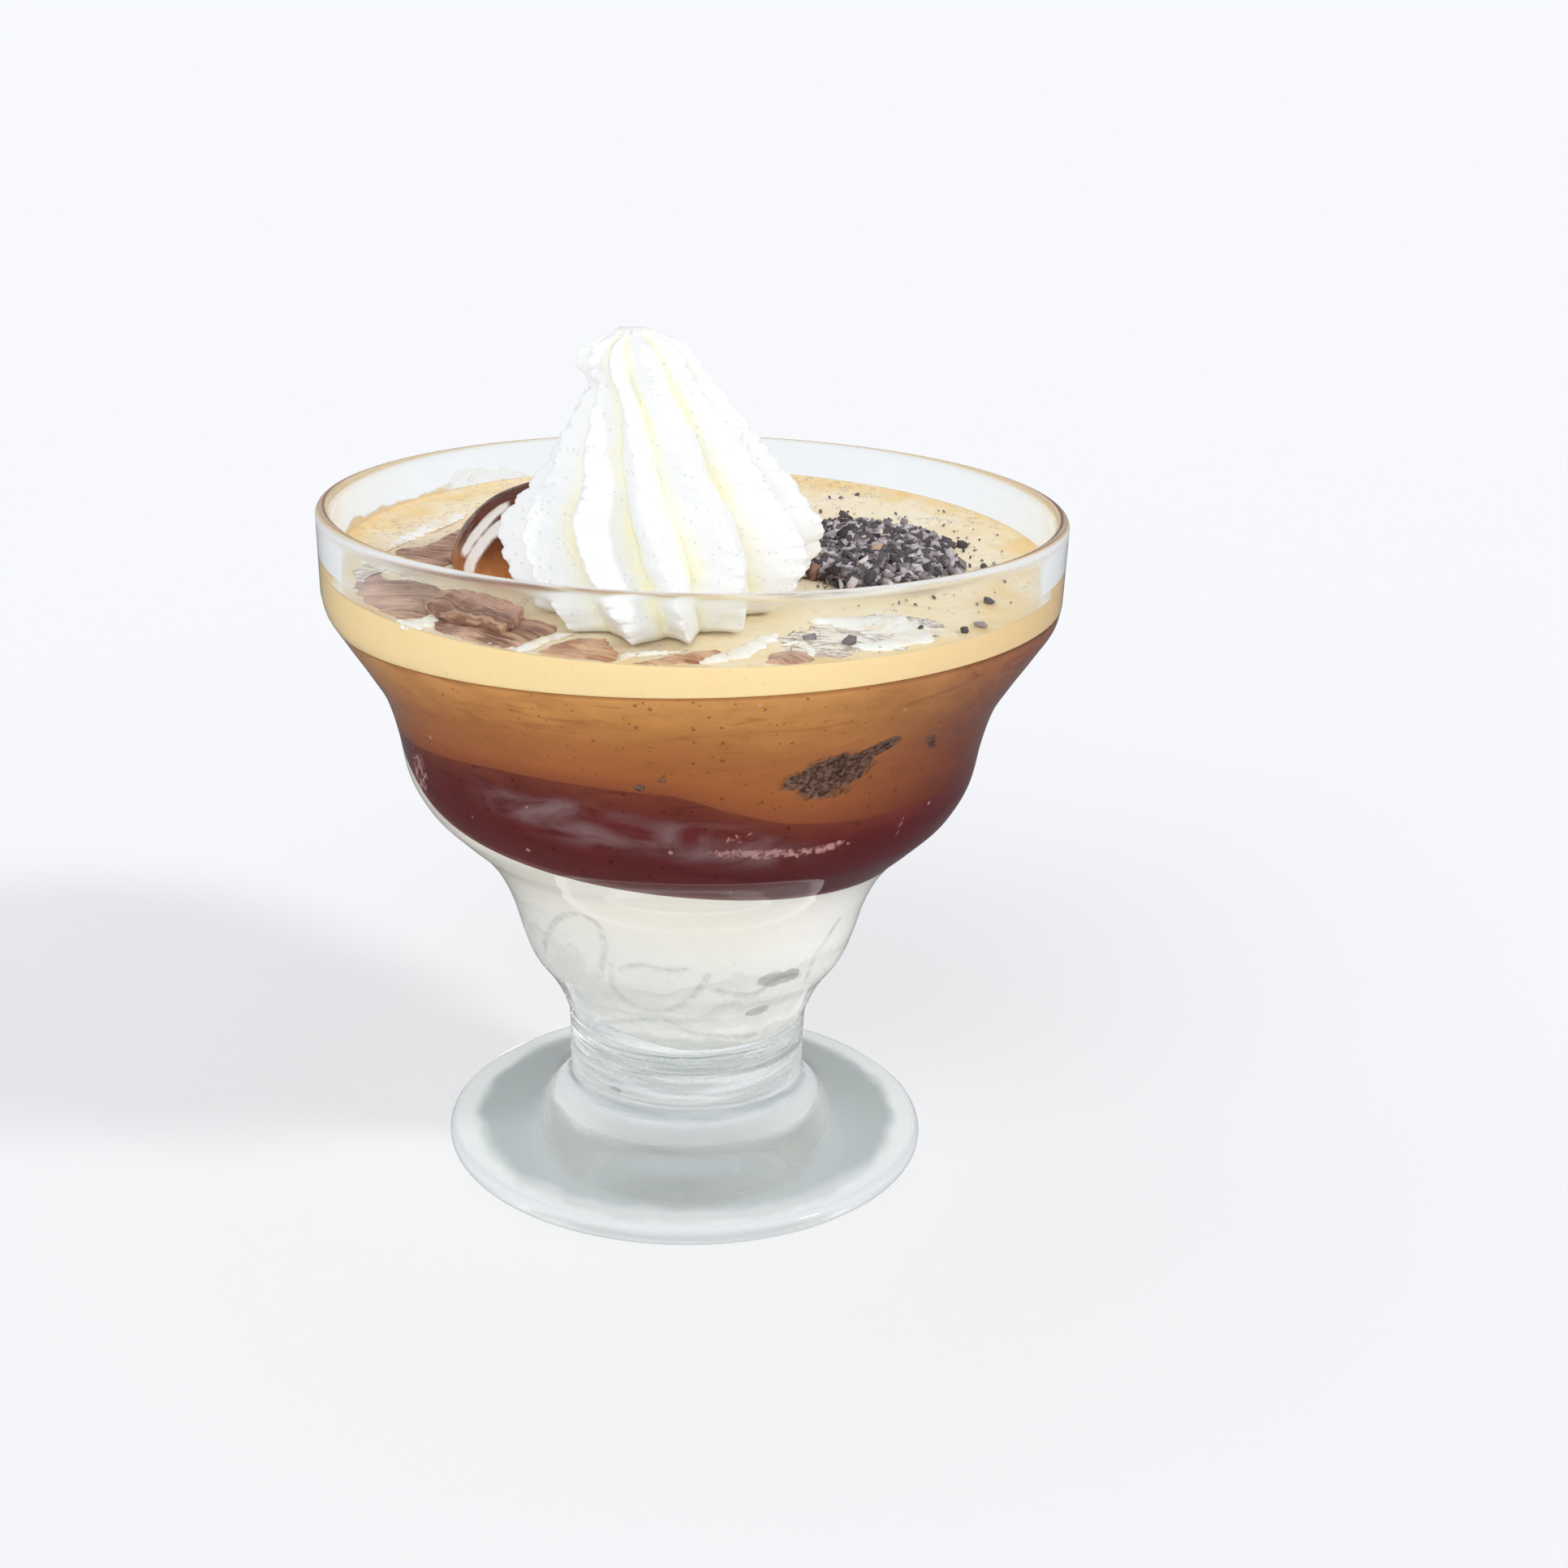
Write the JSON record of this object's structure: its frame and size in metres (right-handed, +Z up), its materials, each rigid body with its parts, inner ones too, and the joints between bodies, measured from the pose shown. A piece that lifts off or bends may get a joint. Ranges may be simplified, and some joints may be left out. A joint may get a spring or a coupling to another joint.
{
  "type": "affogato",
  "caption": "Footed sundae glass of iced coffee layered over vanilla ice cream, topped with foam, a chocolate scoop, piped whipped cream and cookie crumbs.",
  "frame": {"origin": "middle of the flat underside of the glass's foot", "axes": "+Z up along the axis of the glass, -Y towards the front, where the whipped cream leans, +X towards the heap of crumbs"},
  "size_m": [0.112, 0.112, 0.134],
  "materials": {
    "clear_glass": "clear pressed glass, very faint green, frosted with condensation on the lower cup and stem",
    "vanilla_ice_cream": "icy vanilla ice cream against the glass, off-white with frost crystals",
    "dark_coffee": "dark red-brown coffee, opaque",
    "milk_coffee": "milky coffee, orange-brown at the top and browner below, with fine specks",
    "crema_foam": "pale golden foam with fine bubbles and marbled chocolate and milk",
    "chocolate_ice_cream": "glossy dark red-brown chocolate ice cream under sauce",
    "whipped_cream": "soft white piped cream, satin",
    "cookie_crumbs": "near-black cookie crumbs, dry and matt, with some pale bits",
    "chocolate_chunk": "reddish-brown melting chocolate, satin"
  },
  "bodies": {
    "root": {"glass": "clear_glass", "vanilla_ice_cream": "vanilla_ice_cream", "dark_coffee": "dark_coffee", "milk_coffee": "milk_coffee", "crema_foam": "crema_foam", "chocolate_scoop": "chocolate_ice_cream", "whipped_cream": "whipped_cream", "cookie_crumbs": "cookie_crumbs", "chocolate_chunk": "chocolate_chunk"}
  },
  "joints": []
}
